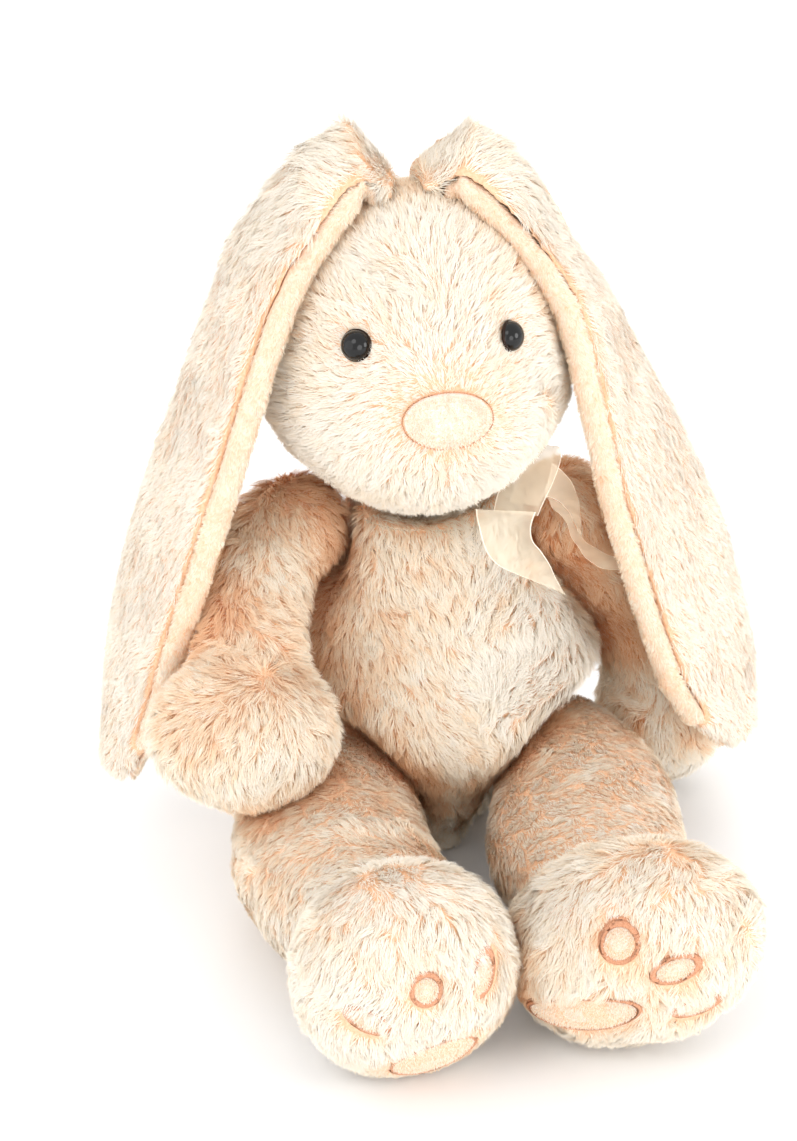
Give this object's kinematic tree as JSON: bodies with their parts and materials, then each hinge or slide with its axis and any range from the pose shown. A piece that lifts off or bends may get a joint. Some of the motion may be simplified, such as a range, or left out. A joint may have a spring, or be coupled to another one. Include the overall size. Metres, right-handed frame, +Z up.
{
  "type": "plush rabbit",
  "caption": "Sitting plush rabbit with long lop ears, fluffy cream fabric, embroidered soles, glossy eyes and a sheer ribbon round its neck.",
  "frame": {"origin": "centre of the flat underside of the seat", "axes": "+Z up, the face looks along -Y, +X on the viewer's right when seen from the front"},
  "size_m": [0.2946, 0.304, 0.3305],
  "materials": {
    "plush_cream": "long plush pile, cream at the tips and peach at the roots",
    "short_pile_lining": "short brushed pile, pale peach",
    "polyester_fibre": "white polyester fibre filling",
    "eye_plastic": "glossy black dome with a dark brown rim",
    "washer_plastic": "translucent white push-on washer",
    "nose_velour": "very short upright pile",
    "sole_velour": "very short velour, speckled pale pink and beige",
    "satin_thread": "glossy satin stitching in coppery peach",
    "pellet_bag": "cotton bag filled with plastic pellets",
    "organza_ribbon": "sheer pale peach organza with bright edges"
  },
  "bodies": {
    "torso": {"body_cover": "plush_cream", "body_stuffing": "polyester_fibre", "pellet_bag": "pellet_bag", "tail_cover": "plush_cream", "tail_stuffing": "polyester_fibre", "ribbon_neck_band": "organza_ribbon", "ribbon_knot": "organza_ribbon", "ribbon_loop_upper": "organza_ribbon", "ribbon_loop_back": "organza_ribbon", "ribbon_tail_front": "organza_ribbon", "ribbon_tail_side": "organza_ribbon"},
    "neck": {"neck_stuffing": "polyester_fibre"},
    "head": {"head_cover": "plush_cream", "head_stuffing": "polyester_fibre", "eye_left": "eye_plastic", "eye_right": "eye_plastic", "eye_washer_left": "washer_plastic", "eye_washer_right": "washer_plastic", "nose_patch": "nose_velour", "nose_stitching": "satin_thread"},
    "ear_left": {"ear_outer_left": "plush_cream", "ear_lining_left": "short_pile_lining"},
    "arm_left": {"arm_cover_left": "plush_cream", "arm_stuffing_left": "polyester_fibre"},
    "leg_left": {"leg_cover_left": "plush_cream", "leg_stuffing_left": "polyester_fibre", "toe_inner_pad_left": "sole_velour", "toe_inner_stitching_left": "satin_thread", "toe_middle_pad_left": "sole_velour", "toe_middle_stitching_left": "satin_thread", "toe_outer_pad_left": "sole_velour", "toe_outer_stitching_left": "satin_thread", "ball_pad_left": "sole_velour", "ball_stitching_left": "satin_thread"},
    "ear_right": {"ear_outer_right": "plush_cream", "ear_lining_right": "short_pile_lining"},
    "arm_right": {"arm_cover_right": "plush_cream", "arm_stuffing_right": "polyester_fibre"},
    "leg_right": {"leg_cover_right": "plush_cream", "leg_stuffing_right": "polyester_fibre", "toe_inner_pad_right": "sole_velour", "toe_inner_stitching_right": "satin_thread", "toe_middle_pad_right": "sole_velour", "toe_middle_stitching_right": "satin_thread", "toe_outer_pad_right": "sole_velour", "toe_outer_stitching_right": "satin_thread", "ball_pad_right": "sole_velour", "ball_stitching_right": "satin_thread"}
  },
  "joints": [
    {"name": "neck_turn", "type": "hinge", "parent": "torso", "child": "neck", "pos_m": [-0.011, 0.003, 0.174], "axis": [0, 0, 1], "range_deg": [-18, 2], "stiffness_Nm_per_rad": 0.6},
    {"name": "neck_nod", "type": "hinge", "parent": "neck", "child": "head", "pos_m": [-0.011, 0.003, 0.174], "axis": [1, 0, 0], "range_deg": [-6, 5], "stiffness_Nm_per_rad": 0.9},
    {"name": "ear_left_lift", "type": "hinge", "parent": "head", "child": "ear_left", "pos_m": [-0.024, 0.006, 0.303], "axis": [0, 1, 0], "range_deg": [0, 30]},
    {"name": "ear_right_lift", "type": "hinge", "parent": "head", "child": "ear_right", "pos_m": [-0.017, 0.006, 0.303], "axis": [0, -1, 0], "range_deg": [0, 30]},
    {"name": "shoulder_left", "type": "hinge", "parent": "torso", "child": "arm_left", "pos_m": [-0.066, 0.004, 0.153], "axis": [-1, 0, 0], "range_deg": [0, 25], "stiffness_Nm_per_rad": 0.12},
    {"name": "shoulder_right", "type": "hinge", "parent": "torso", "child": "arm_right", "pos_m": [0.05, 0.006, 0.15], "axis": [1, 0, 0], "range_deg": [0, 40], "stiffness_Nm_per_rad": 0.12},
    {"name": "hip_left", "type": "hinge", "parent": "torso", "child": "leg_left", "pos_m": [-0.051, -0.02, 0.038], "axis": [1, 0, 0], "range_deg": [0, 70], "stiffness_Nm_per_rad": 0.5},
    {"name": "hip_right", "type": "hinge", "parent": "torso", "child": "leg_right", "pos_m": [0.049, -0.02, 0.038], "axis": [1, 0, 0], "range_deg": [0, 70], "stiffness_Nm_per_rad": 0.5}
  ]
}
